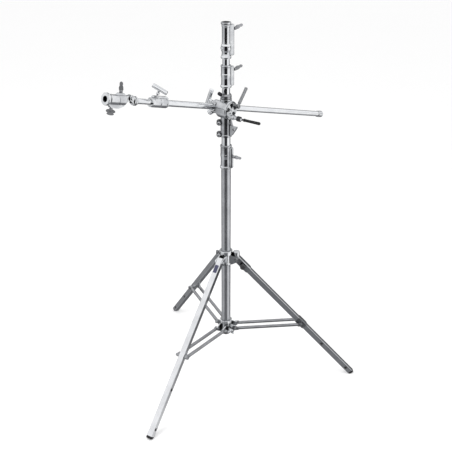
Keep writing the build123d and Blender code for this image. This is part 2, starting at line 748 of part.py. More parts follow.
def make_foot(leg):
    """Rubber foot in the end of a leg, flat on the floor, and the plugs of the leg's side holes."""
    inner = LEG_WIDTH - 2 * LEG_WALL - 2 * PRESS_GAP
    start = leg_section(leg, LEG_TUBE_END)
    ground = 2 * FOOT_REACH + 200
    with BuildPart() as foot:
        block(start, LEG_WIDTH, LEG_WIDTH, FOOT_THICKNESS, corner=3.0)
        end = foot.faces().sort_by(Axis(start.origin, start.z_dir))[-1]
        fillet(end.edges(), 2.5)
        block(start.offset(-FOOT_DEPTH), inner, inner, FOOT_DEPTH, corner=1.5)
        block(level(-60), ground, ground, 60, mode=Mode.SUBTRACT)
        for along in LEG_PLUGS:
            plug = leg_side(leg, along)
            rod(plug, LEG_HOLE_RADIUS - PRESS_GAP, LEG_WIDTH)
            rod(plug.offset(-LEG_PLUG_RISE), LEG_PLUG_RADIUS, LEG_PLUG_RISE)
            rod(plug.offset(LEG_WIDTH), LEG_PLUG_RADIUS, LEG_PLUG_RISE)
    save(foot.part, f"foot_{leg + 1}")


def make_levelling_parts():
    """Sleeve and guide that leg 1 slides through, the lock knob, and the plain plate on leg 2."""
    outer = 2 * SLEEVE_HALF_WIDTH
    inner = LEG_WIDTH + 2 * SLEEVE_GAP
    across = leg_section(0, LEVEL_KNOB_ALONG)
    screw = Plane(origin=across.origin, x_dir=across.z_dir, z_dir=across.x_dir * -1)
    top = leg_section(0, -LEG_HEAD)
    cap = Plane(origin=level(LEG_PIVOT_Z).from_local_coords((LEVEL_CAP_REACH, 0, 0)))
    length = LEVEL_SLEEVE_END + LEG_HEAD
    with BuildPart() as sleeve:
        block(top, outer, outer, length, corner=4.0)
        rod(cap, SLEEVE_HALF_WIDTH, LEVEL_CAP_TOP - LEG_PIVOT_Z)
        chamfer(sleeve.faces().sort_by(Axis.Z)[-1].edges(), 1.5)
        rod(screw, 10.0, SLEEVE_HALF_WIDTH + 6)
        block(top.offset(-1), inner, inner, length + 2, mode=Mode.SUBTRACT, corner=3.0)
        rod(screw.offset(LEG_WIDTH / 2), SCREW_RADIUS + SCREW_GAP, 20, mode=Mode.SUBTRACT)
    save(sleeve.part, "levelling_sleeve")
    start = leg_section(0, LEG_TO_BRACE - LEVEL_GUIDE_HALF)
    length = 2 * LEVEL_GUIDE_HALF
    with BuildPart() as guide:
        block(start, outer, outer, length, corner=4.0)
        block(start.offset(-1), inner, inner, length + 2, mode=Mode.SUBTRACT, corner=3.0)
    save(guide.part, "levelling_guide")
    seat = screw.offset(LEG_WIDTH / 2 + TIP_GAP)
    round_knob("levelling_knob", seat, SLEEVE_HALF_WIDTH + 6.4 - LEG_WIDTH / 2 - TIP_GAP, 14.0, 18.0)
    middle = leg_section(1, LABEL_ALONG)
    top_face = middle.origin + middle.y_dir * (LEG_WIDTH / 2)
    with BuildPart() as label:
        block(Plane(origin=top_face, x_dir=middle.x_dir, z_dir=middle.y_dir), *LABEL_SIZE, corner=2.0)
    save(label.part, "label_plate")


def make_brace(leg):
    """Two rods of one brace, and the fittings and end bolts that join them to collar and leg."""
    azimuth = LEG_AZIMUTHS[leg]
    spread = BRACE_SPREADS[leg]
    number = leg + 1
    radius = BRACE_ROD_RADIUS + 0.4
    outer = spread + 8.0
    with BuildPart() as rods:
        for side in (spread, -spread):
            start = brace_section(leg, BRACE_FITTING, side)
            rod(start, BRACE_ROD_RADIUS, BRACE_LENGTH - 2 * BRACE_FITTING)
    save(rods.part, f"brace_{number}")
    with BuildPart() as ends:
        for way in (1, -1):
            for along, toward in ((0.0, 1), (BRACE_LENGTH, -1)):
                inner = spread - 1.0 if along == 0.0 else spread - 8.2
                eye = brace_section(leg, along, way * inner)
                tongue = Plane(origin=eye.origin, x_dir=eye.z_dir, z_dir=eye.x_dir * way)
                rod(tongue, radius, outer - inner)
                with BuildSketch(tongue) as link:
                    with Locations((toward * BRACE_FITTING / 2, 0)):
                        Rectangle(BRACE_FITTING, 2 * radius)
                extrude(link.sketch, amount=outer - inner)
        for way in (1, -1):
            pivot = pin_plane(azimuth, BRACE_PIVOT_REACH, BRACE_PIVOT_Z, way * (spread - 3))
            rod(pivot, BRACE_PIN_RADIUS + 0.3, way * 20, mode=Mode.SUBTRACT)
            hexagon(pin_plane(azimuth, BRACE_TIP_REACH, BRACE_TIP_Z, way * outer), 7.5, way * 6.0)
    save(ends.part, f"brace_{number}_ends")


# ======================= boom head =======================

def make_bracket():
    """Cast bracket round riser 1: a split sleeve below and a drum across the column above."""
    bore = RISER_RADII[0] + SLIDE_GAP
    stud_hole = LEVER_STUD + 0.1
    screw_hole = ROD_SCREW_RADIUS + SCREW_GAP
    gusset = upright(BOOM_AZIMUTH - 90, -GUSSET_THICKNESS / 2)
    with BuildPart() as bracket:
        turned(
            upright(0),
            [
                (0, BRACKET_BOTTOM),
                (27.5, BRACKET_BOTTOM),
                (29, BRACKET_BOTTOM + 2),
                (29, BRACKET_BOTTOM + 12),
                (27.5, BRACKET_BOTTOM + 15),
                (27.5, BRACKET_TOP - 10),
                (29, BRACKET_TOP - 8),
                (29, BRACKET_TOP - 1),
                (28, BRACKET_TOP),
                (0, BRACKET_TOP),
            ],
        )
        rod(drum_face(DRUM_BACK), DRUM_RADIUS, DRUM_FRONT - DRUM_BACK)
        chamfer(bracket.faces().sort_by(Axis((0, 0, 0), BOOM_SIDE))[-1].edges(), 2.5)
        plate(
            gusset,
            [(20, 1446), (30, 1446), (44, 1456), (70, 1492), (76, 1504), (20, 1504)],
            GUSSET_THICKNESS,
        )
        plate(upright(BOOM_AZIMUTH - 90, -3), [(41, 1500), (48, 1500), (33, 1548), (26, 1548)], 6)
        for lug_z in BRACKET_LUGS:
            with BuildSketch(lug_bolt(lug_z, -LUG_HALF)) as lug:
                with Locations((-1, 0)):
                    Circle(13)
                with Locations((-9, 0)):
                    Rectangle(16, 24)
            extrude(lug.sketch, amount=2 * LUG_HALF)
        rod(level(BRACKET_BOTTOM - 1), bore, BRACKET_TOP - BRACKET_BOTTOM + 2, mode=Mode.SUBTRACT)
        with BuildSketch(upright(LUG_AZIMUTH, -2)) as split_line:
            with Locations((34, 1484)):
                Rectangle(34, 100)
        extrude(split_line.sketch, amount=4, mode=Mode.SUBTRACT)
        for lug_z in BRACKET_LUGS:
            rod(lug_bolt(lug_z, -30), LUG_BOLT_RADIUS + 0.1, 60, mode=Mode.SUBTRACT)
        hole = Plane(origin=gusset.from_local_coords(GUSSET_HOLE), x_dir=gusset.x_dir, z_dir=gusset.z_dir)
        rod(hole, GUSSET_HOLE_RADIUS, GUSSET_THICKNESS + 1, mode=Mode.SUBTRACT)
        rod(drum_face(DRUM_BACK - 1), SPIGOT_RADIUS + 0.3, 7, mode=Mode.SUBTRACT)
        rod(drum_face(0, LEVER_ALONG, LEVER_HEIGHT), stud_hole, 60, mode=Mode.SUBTRACT)
        rod(drum_face(DRUM_BACK - 1, ROD_ALONG, ROD_HEIGHT), screw_hole, 80, mode=Mode.SUBTRACT)
    save(bracket.part, "boom_bracket")


def make_bracket_bolts():
    """Clamp bolts of the bracket's split sleeve, and the long stud of the swivel lock with its nuts."""
    face = DRUM_FRONT + PLATE_THICKNESS
    stack = drum_face(face, LEVER_ALONG, LEVER_HEIGHT)
    with BuildPart() as bolts:
        for lug_z in BRACKET_LUGS:
            for way in (1, -1):
                rod(lug_bolt(lug_z, 0), LUG_BOLT_RADIUS, LUG_HALF * way)
                rod(lug_bolt(lug_z, LUG_HALF * way), 10.0, 2.0 * way)
                dome(lug_bolt(lug_z, (LUG_HALF + 2) * way), 8.5, 6.5 * way)
        stud = drum_face(LEVER_TIP, LEVER_ALONG, LEVER_HEIGHT)
        rod(stud, LEVER_STUD, LEVER_HUB_START + 22 - LEVER_TIP)
        rod(stack, 14.0, 4.0)
        rod(stack.offset(4), 10.5, 20.0)
        hexagon(stack.offset(24), 13.0, 11.0)
        rod(stack.offset(35), 9.5, LEVER_HUB_START - 0.5 - face - 35)
    save(bolts.part, "bracket_bolts")


def make_bracket_cover():
    """Round plate on the front of the drum, with its centre nut and four screws."""
    face = DRUM_FRONT + PLATE_THICKNESS
    with BuildPart() as cover:
        rod(drum_face(DRUM_FRONT), 38.0, PLATE_THICKNESS)
        chamfer(cover.faces().sort_by(Axis((0, 0, 0), BOOM_SIDE))[-1].edges(), 1.5)
        hexagon(drum_face(face, 2, 4), 9.0, 5.0)
        for angle in COVER_SCREW_ANGLES:
            along = COVER_SCREW_CIRCLE * cos(radians(angle))
            height = COVER_SCREW_CIRCLE * sin(radians(angle))
            rod(drum_face(face, along, height), 4.5, 3.0)
        rod(drum_face(DRUM_FRONT - 1, LEVER_ALONG, LEVER_HEIGHT), LEVER_STUD + 0.1, 12, mode=Mode.SUBTRACT)
        screw = drum_face(DRUM_FRONT - 1, ROD_ALONG, ROD_HEIGHT)
        rod(screw, ROD_SCREW_RADIUS + SCREW_GAP, 12, mode=Mode.SUBTRACT)
    save(cover.part, "bracket_cover")


def make_levers():
    """Swivel lock with a rubber grip, and the tilt lock with a knurled steel handle."""
    hub = drum_face(LEVER_HUB_START, LEVER_ALONG, LEVER_HEIGHT)
    up = Vector(0, 0, 1)
    way = (BOOM_LEVEL * 105 - up * 41 + BOOM_SIDE * 40).normalized()
    start = hub.origin + BOOM_SIDE * 11 + way * 4
    grip = Plane(origin=start, x_dir=up.cross(way).normalized(), z_dir=way)
    with BuildPart() as lever:
        rod(hub, 13.0, 20.0)
        chamfer(lever.edges().filter_by(GeomType.CIRCLE), 1.5)
        rod(grip, LEVER_ROD_RADIUS, LEVER_ROD_LENGTH)
        rod(hub.offset(-1), LEVER_STUD + SCREW_GAP, 22.0, mode=Mode.SUBTRACT)
    save(lever.part, "swivel_lock_lever")
    with BuildPart() as sleeve:
        turned(
            along_axis(grip),
            [
                (LEVER_ROD_RADIUS, 24),
                (8, 24),
                (8, 30),
                (7, 36),
                (7.5, 90),
                (8, 116),
                (6.5, 121),
                (0, 122),
                (0, LEVER_ROD_LENGTH + PRESS_GAP),
                (LEVER_ROD_RADIUS, LEVER_ROD_LENGTH + PRESS_GAP),
            ],
        )
    save(sleeve.part, "swivel_lock_grip")
    tip = SLEEVE_DRUM_FRONT + 1.2
    screw = drum_face(tip, ROD_ALONG, ROD_HEIGHT)
    head = DRUM_FRONT + PLATE_THICKNESS + 0.5 - tip
    direction = (BOOM_LEVEL * 63 + up * 80).normalized()
    handle = Plane(origin=screw.origin + BOOM_SIDE * (head + 14), x_dir=BOOM_SIDE, z_dir=direction)
    with BuildPart() as bar:
        rod(screw, ROD_SCREW_RADIUS, head + 2)
        rod(screw.offset(head), 11.0, 24.0)
        chamfer(bar.faces().sort_by(Axis((0, 0, 0), BOOM_SIDE))[-1].edges(), 2.0)
        turned(
            along_axis(handle),
            [
                (0, 0),
                (6, 0),
                (6, 16),
                (8.5, 18),
                (8.5, 21),
                (8, 23),
                (8, 96),
                (8.5, 98),
                (8.5, 102),
                (6, 105),
                (0, 105),
            ],
        )
    save(bar.part, "tilt_lock_handle")


def make_sleeve():
    """Drum that turns on the bracket and holds the boom, with its two lock screws."""
    bore = BOOM_RADIUS + SLIDE_GAP
    t_seat = boom_radial(0, T_HANDLE_TURN)
    knob_seat = boom_radial(0, SLEEVE_KNOB_TURN)
    with BuildPart() as sleeve:
        rod(drum_face(SLEEVE_DRUM_BACK), SLEEVE_DRUM_RADIUS, SLEEVE_DRUM_FRONT - SLEEVE_DRUM_BACK)
        chamfer(sleeve.faces().sort_by(Axis((0, 0, 0), BOOM_SIDE))[0].edges(), 3.0)
        rod(drum_face(SLEEVE_DRUM_FRONT), SPIGOT_RADIUS, 5.5)
        rod(boom_section(-SLEEVE_HALF), 23.0, 2 * SLEEVE_HALF)
        rod(boom_section(-SLEEVE_HALF), 23.7, 8.0)
        rod(boom_section(SLEEVE_HALF - 8), 23.7, 8.0)
        rod(t_seat, 11.0, 38.0)
        rod(knob_seat, 10.0, 36.0)
        rod(boom_section(-SLEEVE_HALF - 1), bore, 2 * SLEEVE_HALF + 2, mode=Mode.SUBTRACT)
        rod(t_seat, SCREW_RADIUS + SCREW_GAP, 50, mode=Mode.SUBTRACT)
        rod(knob_seat, SCREW_RADIUS + SCREW_GAP, 50, mode=Mode.SUBTRACT)
    save(sleeve.part, "boom_sleeve")
    t_handle("boom_lock_t_handle", t_seat.offset(BOOM_RADIUS + TIP_GAP), 34.0, 10.5, 110.0, 77)
    round_knob("boom_lock_knob", knob_seat.offset(BOOM_RADIUS + TIP_GAP), 21.5, 16.5, 23.0)


# ======================= boom =======================

def make_boom():
    """Outer tube with its tail cap and front collar, and the collar's lock handle."""
    with BuildPart() as tube:
        ring(boom_section(BOOM_FRONT), BOOM_RADIUS, BOOM_BORE, BOOM_TAIL - BOOM_FRONT)
        rod(boom_radial(COLLAR_SCREW, COLLAR_TURN), SCREW_RADIUS + SCREW_GAP, 50, mode=Mode.SUBTRACT)
    save(tube.part, "boom_tube")
    start = BOOM_TAIL + 5 - TAIL_CAP_LENGTH
    with BuildPart() as cap:
        rod(boom_section(start), BOOM_RADIUS + 3.5, TAIL_CAP_LENGTH)
        chamfer(cap.edges().filter_by(GeomType.CIRCLE), 2.0)
        rod(boom_section(start - 1), BOOM_RADIUS + PRESS_GAP, BOOM_TAIL - start + 1, mode=Mode.SUBTRACT)
    save(cap.part, "boom_tail_cap")
    length = BOOM_COLLAR_BACK - BOOM_COLLAR_FRONT
    spine = boom_section(BOOM_COLLAR_FRONT)
    profile = Plane(origin=spine.origin, x_dir=spine.x_dir, z_dir=spine.y_dir * -1)
    with BuildPart() as collar:
        turned(
            profile,
            [
                (0, 0),
                (21, 0),
                (22.5, 2),
                (22.5, 10),
                (23.5, 14),
                (23.5, length * 0.46),
                (22, length * 0.48),
                (22, length * 0.52),
                (23.5, length * 0.54),
                (23.5, length - 16),
                (22, length - 14),
                (22, length - 10),
                (23.5, length - 8),
                (23.5, length - 2),
                (22, length),
                (0, length),
            ],
        )
        plate(
            boom_side(BOOM_COLLAR_FRONT, -8),
            [(10, 0), (length + 6, 0), (length + 6, 24), (length - 4, 31), (14, 31), (10, 24)],
            16,
        )
        rod(boom_section(BOOM_COLLAR_FRONT - 1), INNER_RADIUS + SLIDE_GAP, 20, mode=Mode.SUBTRACT)
        rod(boom_section(BOOM_FRONT), BOOM_RADIUS + PRESS_GAP, length + 2, mode=Mode.SUBTRACT)
        rod(boom_radial(COLLAR_SCREW, COLLAR_TURN), SCREW_RADIUS + SCREW_GAP, 50, mode=Mode.SUBTRACT)
    save(collar.part, "boom_collar")
    seat = boom_radial(COLLAR_SCREW, COLLAR_TURN, INNER_RADIUS + TIP_GAP)
    t_handle("boom_collar_t_handle", seat, 31.4, 10.5, 76.0, 119)


def make_inner_boom():
    """Inner tube of the boom, the fork on its end and the fork's bolt."""
    with BuildPart() as tube:
        ring(boom_section(INNER_FRONT), INNER_RADIUS, INNER_BORE, INNER_BACK - INNER_FRONT)
    save(tube.part, "boom_inner_tube")
    face = INNER_FRONT - 8
    with BuildPart() as fork:
        rod(boom_section(face), 20, 10)
        rod(boom_section(face + 8), 21.5, 7)
        rod(boom_section(face + 15), 15.5, 12)
        for side in (8.0, -14.0):
            with BuildSketch(boom_side(0, side)) as ear:
                with Locations((RECEIVER_PIVOT, PIVOT_UP)):
                    Circle(14)
                with BuildLine():
                    Polyline(
                        (RECEIVER_PIVOT, PIVOT_UP + 14),
                        (RECEIVER_PIVOT - 4, PIVOT_UP - 12),
                        (face + 3, -16),
                        (face + 10, -14),
                        (face + 10, 14),
                        close=True,
                    )
                make_face()
            extrude(ear.sketch, amount=6.0)
        rod(boom_section(INNER_FRONT), INNER_RADIUS + PRESS_GAP, 30, mode=Mode.SUBTRACT)
        rod(boom_pin(-30), PIN_RADIUS + 0.1, 60, mode=Mode.SUBTRACT)
    save(fork.part, "boom_end_fork")
    with BuildPart() as bolt:
        rod(boom_pin(-14), PIN_RADIUS, 28)
        hexagon(boom_pin(14), 9.0, 6.0)
        rod(boom_pin(-16), 9.0, 2.0)
        hexagon(boom_pin(-22), 9.0, 6.0)
    save(bolt.part, "fork_bolt")


def make_boom_receiver():
    """Socket on the boom's end for a 28.6 mm stud, with a wing screw above and one below."""
    spine = boom_section(SOCKET_FRONT)
    profile = Plane(origin=spine.origin, x_dir=spine.x_dir, z_dir=spine.y_dir * -1)
    length = SOCKET_BACK - SOCKET_FRONT
    with BuildPart() as receiver:
        turned(
            profile,
            [
                (0, 0),
                (26.5, 0),
                (28, 2),
                (28, 11),
                (25, 15),
                (23, 22),
                (23, length * 0.60),
                (22, length * 0.63),
                (22, length * 0.66),
                (23, length * 0.69),
                (23, length - 4),
                (20, length),
                (0, length),
            ],
        )
        with BuildSketch(boom_side(0, -7.5)) as tongue:
            with Locations((RECEIVER_PIVOT, PIVOT_UP)):
                Circle(13)
            with BuildLine():
                Polyline(
                    (RECEIVER_PIVOT, PIVOT_UP + 13),
                    (SOCKET_BACK - 12, PIVOT_UP + 8),
                    (SOCKET_BACK - 12, PIVOT_UP - 24),
                    (SOCKET_BACK, PIVOT_UP - 24),
                    (RECEIVER_PIVOT, PIVOT_UP - 13),
                    close=True,
                )
            make_face()
        extrude(tongue.sketch, amount=15)
        plate(
            boom_side(0, -9),
            [
                (SOCKET_FRONT + 14, -18),
                (SOCKET_FRONT + 36, -37),
                (SOCKET_BACK - 36, -38),
                (SOCKET_BACK - 4, -27),
                (SOCKET_BACK - 4, -15),
            ],
            18,
        )
        plate(
            boom_side(0, -8),
            [
                (TOP_WING_ALONG - 30, 15),
                (TOP_WING_ALONG - 16, 31),
                (TOP_WING_ALONG + 16, 31),
                (TOP_WING_ALONG + 34, 15),
            ],
            16,
        )
        rod(boom_section(SOCKET_FRONT - 1), SOCKET_RADIUS, BOOM_SOCKET_DEPTH + 1, mode=Mode.SUBTRACT)
        rod(boom_pin(-30), PIN_RADIUS + 0.3, 60, mode=Mode.SUBTRACT)
        rod(boom_radial(TOP_WING_ALONG, 90), SCREW_RADIUS + SCREW_GAP, 60, mode=Mode.SUBTRACT)
        rod(boom_radial(LOW_WING_ALONG, -90), SCREW_RADIUS + SCREW_GAP, 60, mode=Mode.SUBTRACT)
    save(receiver.part, "boom_receiver")
    top_seat = boom_radial(TOP_WING_ALONG, 90, SOCKET_RADIUS + 0.7)
    wing_screw("receiver_top_wing", top_seat, 31.3 - SOCKET_RADIUS, wing=46.0, span=20.0, turn=-35, bend=-6)
    low_seat = boom_radial(LOW_WING_ALONG, -90, SOCKET_RADIUS + 0.7)
    wing_screw("receiver_low_wing", low_seat, 38.5 - SOCKET_RADIUS, wing=28.0, span=42.0, turn=45)


os.makedirs("parts", exist_ok=True)
for leg_number in range(3):
    make_leg(leg_number)
    make_foot(leg_number)
    make_brace(leg_number)
make_column()
make_castings()
make_top_receiver()
make_riser_1_head()
make_leg_collar()
make_bolts()
make_brace_collar()
make_levelling_parts()
make_bracket()
make_bracket_bolts()
make_bracket_cover()
make_levers()
make_sleeve()
make_boom()
make_inner_boom()
make_boom_receiver()
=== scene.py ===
import json
from math import radians

import bpy
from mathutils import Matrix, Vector


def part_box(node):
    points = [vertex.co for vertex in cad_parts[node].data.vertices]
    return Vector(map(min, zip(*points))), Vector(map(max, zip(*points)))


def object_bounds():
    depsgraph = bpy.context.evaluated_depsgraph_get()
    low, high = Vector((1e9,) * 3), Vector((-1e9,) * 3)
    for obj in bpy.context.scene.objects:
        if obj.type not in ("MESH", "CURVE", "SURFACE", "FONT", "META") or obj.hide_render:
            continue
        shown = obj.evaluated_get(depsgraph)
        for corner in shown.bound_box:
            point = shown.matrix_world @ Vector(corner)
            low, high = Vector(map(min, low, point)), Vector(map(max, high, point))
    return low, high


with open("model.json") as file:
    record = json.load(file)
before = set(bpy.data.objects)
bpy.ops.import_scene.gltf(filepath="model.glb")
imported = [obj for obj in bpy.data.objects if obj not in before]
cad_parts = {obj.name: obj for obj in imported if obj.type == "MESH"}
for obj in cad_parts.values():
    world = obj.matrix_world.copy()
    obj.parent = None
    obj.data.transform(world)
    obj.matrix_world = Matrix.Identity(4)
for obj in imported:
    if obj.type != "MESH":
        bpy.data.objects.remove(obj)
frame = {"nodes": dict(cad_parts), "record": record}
cad_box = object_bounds()

NODES = frame["nodes"]
COLUMN = (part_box("base_tube")[0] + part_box("base_tube")[1]) / 2


# ---------------------------------------------------------------- node helpers

def new_material(name):
    """An empty node material and its Principled shader, already joined to the output."""
    material = bpy.data.materials.new(name)
    material.use_nodes = True
    tree = material.node_tree
    tree.nodes.clear()
    shader = tree.nodes.new("ShaderNodeBsdfPrincipled")
    output = tree.nodes.new("ShaderNodeOutputMaterial")
    tree.links.new(shader.outputs["BSDF"], output.inputs["Surface"])
    return material, tree, shader


def object_point(tree, stretch=(1.0, 1.0, 1.0), turn=(0.0, 0.0, 0.0)):
    """The point on the object, in metres, stretched and turned before a texture reads it."""
    place = tree.nodes.new("ShaderNodeTexCoord")
    mapping = tree.nodes.new("ShaderNodeMapping")
    mapping.inputs["Scale"].default_value = stretch
    mapping.inputs["Rotation"].default_value = turn
    tree.links.new(place.outputs["Object"], mapping.inputs["Vector"])
    return mapping.outputs["Vector"]


def noise(tree, vector, scale, detail=4.0, roughness=0.55):
    node = tree.nodes.new("ShaderNodeTexNoise")
    node.inputs["Scale"].default_value = scale
    node.inputs["Detail"].default_value = detail
    node.inputs["Roughness"].default_value = roughness
    tree.links.new(vector, node.inputs["Vector"])
    return node.outputs["Fac"]


def spread(tree, value, low, high, out_low, out_high):
    """Maps low..high of a value to out_low..out_high, held at both ends."""
    node = tree.nodes.new("ShaderNodeMapRange")
    node.inputs["From Min"].default_value = low
    node.inputs["From Max"].default_value = high
    node.inputs["To Min"].default_value = out_low
    node.inputs["To Max"].default_value = out_high
    tree.links.new(value, node.inputs["Value"])
    return node.outputs["Result"]


def maths(tree, operation, *values):
    """A Math node on sockets or plain numbers."""
    node = tree.nodes.new("ShaderNodeMath")
    node.operation = operation
    for number, value in enumerate(values):
        if hasattr(value, "is_output"):
            tree.links.new(value, node.inputs[number])
        else:
            node.inputs[number].default_value = value
    return node.outputs["Value"]


def window(tree, value, start, full, last, end):
    """1 from full to last, falling softly to 0 at start and at end."""
    rise = spread(tree, value, start, full, 0.0, 1.0)
    fall = spread(tree, value, last, end, 1.0, 0.0)
    return maths(tree, "MULTIPLY", rise, fall)


def blend_colour(tree, share, first, second):
    """A mix of two colours by share. Each is a colour or a socket."""
    node = tree.nodes.new("ShaderNodeMix")
    node.data_type = "RGBA"
    tree.links.new(share, node.inputs["Factor"])
    for name, colour in (("A", first), ("B", second)):
        socket = [s for s in node.inputs if s.name == name and s.type == "RGBA"][0]
        if hasattr(colour, "is_output"):
            tree.links.new(colour, socket)
        else:
            socket.default_value = (*colour, 1.0)
    return [s for s in node.outputs if s.type == "RGBA"][0]


def bump(tree, shader, height, distance, strength):
    """Raises the shader's surface by a height map."""
    node = tree.nodes.new("ShaderNodeBump")
    node.inputs["Strength"].default_value = strength
    node.inputs["Distance"].default_value = distance
    tree.links.new(height, node.inputs["Height"])
    tree.links.new(node.outputs["Normal"], shader.inputs["Normal"])


def paint(material, *names):
    """Gives each named piece one material in place of its own."""
    for name in names:
        slots = NODES[name].data.materials
        slots.clear()
        slots.append(material)


# ------------------------------------------------------------------- materials

# painted shade in corners and crevices: how far the occlusion reaches, the dark colour painted there and
# its samples
CREVICE_SHADE_REACH = 0.03
CREVICE_SHADE_COLOUR = (0.05, 0.052, 0.056)
CREVICE_SHADE_SAMPLES = 8
SMEAR_SCALE = 18.0
GRAIN_SCALE = 900.0


def painted_crevice_shade(tree):
    """Painted shade from an occlusion node: 0 in tight corners, 1 on open faces."""
    node = tree.nodes.new("ShaderNodeAmbientOcclusion")
    node.inputs["Distance"].default_value = CREVICE_SHADE_REACH
    node.samples = CREVICE_SHADE_SAMPLES
    return spread(tree, node.outputs["AO"], 0.45, 0.9, 0.0, 1.0)


def metal(name, light, dark, rough, grain=(1.0, 1.0, 1.0), wave=0.00002, crevice_shade=False):
    """Plated metal with fine polishing grain, faint smears and, on castings, painted shade in the crevices.
    """
    material, tree, shader = new_material(name)
    shader.inputs["Metallic"].default_value = 1.0
    cloud = noise(tree, object_point(tree), SMEAR_SCALE, 3.0)
    lines = noise(tree, object_point(tree, grain), GRAIN_SCALE, 5.0, 0.6)
    colour = blend_colour(tree, spread(tree, cloud, 0.35, 0.65, 0.0, 1.0), dark, light)
    if crevice_shade:
        # painted shade: the colour turns dark in corners and crevices
        colour = blend_colour(tree, painted_crevice_shade(tree), CREVICE_SHADE_COLOUR, colour)
    tree.links.new(colour, shader.inputs["Base Color"])
    tree.links.new(spread(tree, lines, 0.3, 0.7, rough * 0.75, rough * 1.3), shader.inputs["Roughness"])
    bump(tree, shader, lines, wave, 0.5)
    return material


chrome = metal("polished_chrome", (0.93, 0.94, 0.95), (0.86, 0.87, 0.89), 0.10, (1.0, 1.0, 0.06))
satin = metal("satin_chrome", (0.62, 0.63, 0.65), (0.52, 0.53, 0.55), 0.30, (1.0, 1.0, 0.04), wave=0.00004)
cast = metal("cast_chrome", (0.90, 0.91, 0.92), (0.62, 0.63, 0.65), 0.14, wave=0.00008, crevice_shade=True)
# painted shade: a darker copy of the cast chrome, for wings, heads, the guide and the knob
shaded_cast = metal("cast_chrome_painted_shade", (0.42, 0.425, 0.44), (0.28, 0.285, 0.295), 0.26, wave=0.00006,
                  crevice_shade=True)
leg_steel = metal("leg_chrome", (0.88, 0.885, 0.90), (0.78, 0.785, 0.80), 0.13, (1.0, 1.0, 0.3))
# painted shade: a darker copy of the cast chrome for the bracket's shaded side, also used on the base
# casting
shaded_bracket_cast = metal("bracket_cast_painted_shade", (0.72, 0.73, 0.75), (0.42, 0.425, 0.44), 0.18, wave=0.00008,
                     crevice_shade=True)
brace_steel = metal("brace_steel", (0.42, 0.425, 0.44), (0.34, 0.345, 0.355), 0.26, (1.0, 1.0, 0.3),
                    wave=0.00004)
zinc = metal("zinc_bolts", (0.78, 0.79, 0.80), (0.62, 0.63, 0.65), 0.24)
black_steel = metal("black_steel", (0.085, 0.085, 0.09), (0.05, 0.05, 0.055), 0.38)


# the tilt drum's axis, in degrees from +X, and the pockets of its cover: where each one starts, is at its
# full depth, is last at its full depth and ends
DRUM_AZIMUTH = -39.0
POCKETS = 5.0
POCKET_RADII = (0.013, 0.015, 0.034, 0.036)


def drum_cover():
    """Cast cover of the tilt drum, with painted shade in the bumped pockets between its spokes."""
    material, tree, shader = new_material("drum_cover")
    shader.inputs["Metallic"].default_value = 1.0
    low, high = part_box("bracket_cover")
    offset = tree.nodes.new("ShaderNodeVectorMath")
    offset.operation = "SUBTRACT"
    offset.inputs[1].default_value = (low + high) / 2
    tree.links.new(object_point(tree), offset.inputs[0])
    turned = tree.nodes.new("ShaderNodeVectorRotate")
    turned.rotation_type = "Z_AXIS"
    turned.inputs["Angle"].default_value = radians(-DRUM_AZIMUTH)
    tree.links.new(offset.outputs["Vector"], turned.inputs["Vector"])
    split = tree.nodes.new("ShaderNodeSeparateXYZ")
    tree.links.new(turned.outputs["Vector"], split.inputs["Vector"])
    across = split.outputs["Y"]
    up = split.outputs["Z"]
    angle = maths(tree, "ARCTAN2", up, across)
    squares = maths(tree, "ADD", maths(tree, "MULTIPLY", across, across), maths(tree, "MULTIPLY", up, up))
    reach = maths(tree, "SQRT", squares)
    wave = maths(tree, "SINE", maths(tree, "MULTIPLY", angle, POCKETS))
    spokes = spread(tree, wave, -0.35, -0.15, 0.0, 1.0)
    band = window(tree, reach, *POCKET_RADII)
    pocket_shade = maths(tree, "MULTIPLY", spokes, band)
    cloud = noise(tree, object_point(tree), 60.0, 3.0)
    metal_colour = blend_colour(tree, cloud, (0.55, 0.56, 0.57), (0.85, 0.86, 0.87))
    # painted shade: the pockets are painted near black in place of the shade in real recesses
    colour = blend_colour(tree, pocket_shade, metal_colour, (0.045, 0.046, 0.05))
    tree.links.new(colour, shader.inputs["Base Color"])
    tree.links.new(spread(tree, cloud, 0.3, 0.7, 0.14, 0.26), shader.inputs["Roughness"])
    bump(tree, shader, maths(tree, "SUBTRACT", 1.0, pocket_shade), 0.0012, 0.8)
    return material


KNURL_SCALE = 150.0


def knurled():
    """Turned steel bar with a fine diamond knurl, with painted shade in the grooves."""
    material, tree, shader = new_material("knurled_steel")
    shader.inputs["Metallic"].default_value = 1.0
    grooves = []
    for way in (radians(45.0), radians(-45.0)):
        wave = tree.nodes.new("ShaderNodeTexWave")
        wave.inputs["Scale"].default_value = KNURL_SCALE
        tree.links.new(object_point(tree, turn=(way, 0.0, way)), wave.inputs["Vector"])
        grooves.append(wave.outputs["Fac"])
    diamonds = maths(tree, "MULTIPLY", *grooves)
    unshaded_tops = spread(tree, diamonds, 0.05, 0.5, 0.0, 1.0)
    # painted shade: the grooves are painted dark, the tops keep the steel's tone
    colour = blend_colour(tree, unshaded_tops, (0.16, 0.163, 0.17), (0.60, 0.61, 0.62))
    tree.links.new(colour, shader.inputs["Base Color"])
    tree.links.new(spread(tree, diamonds, 0.0, 0.6, 0.36, 0.22), shader.inputs["Roughness"])
    bump(tree, shader, diamonds, 0.0003, 0.6)
    return material


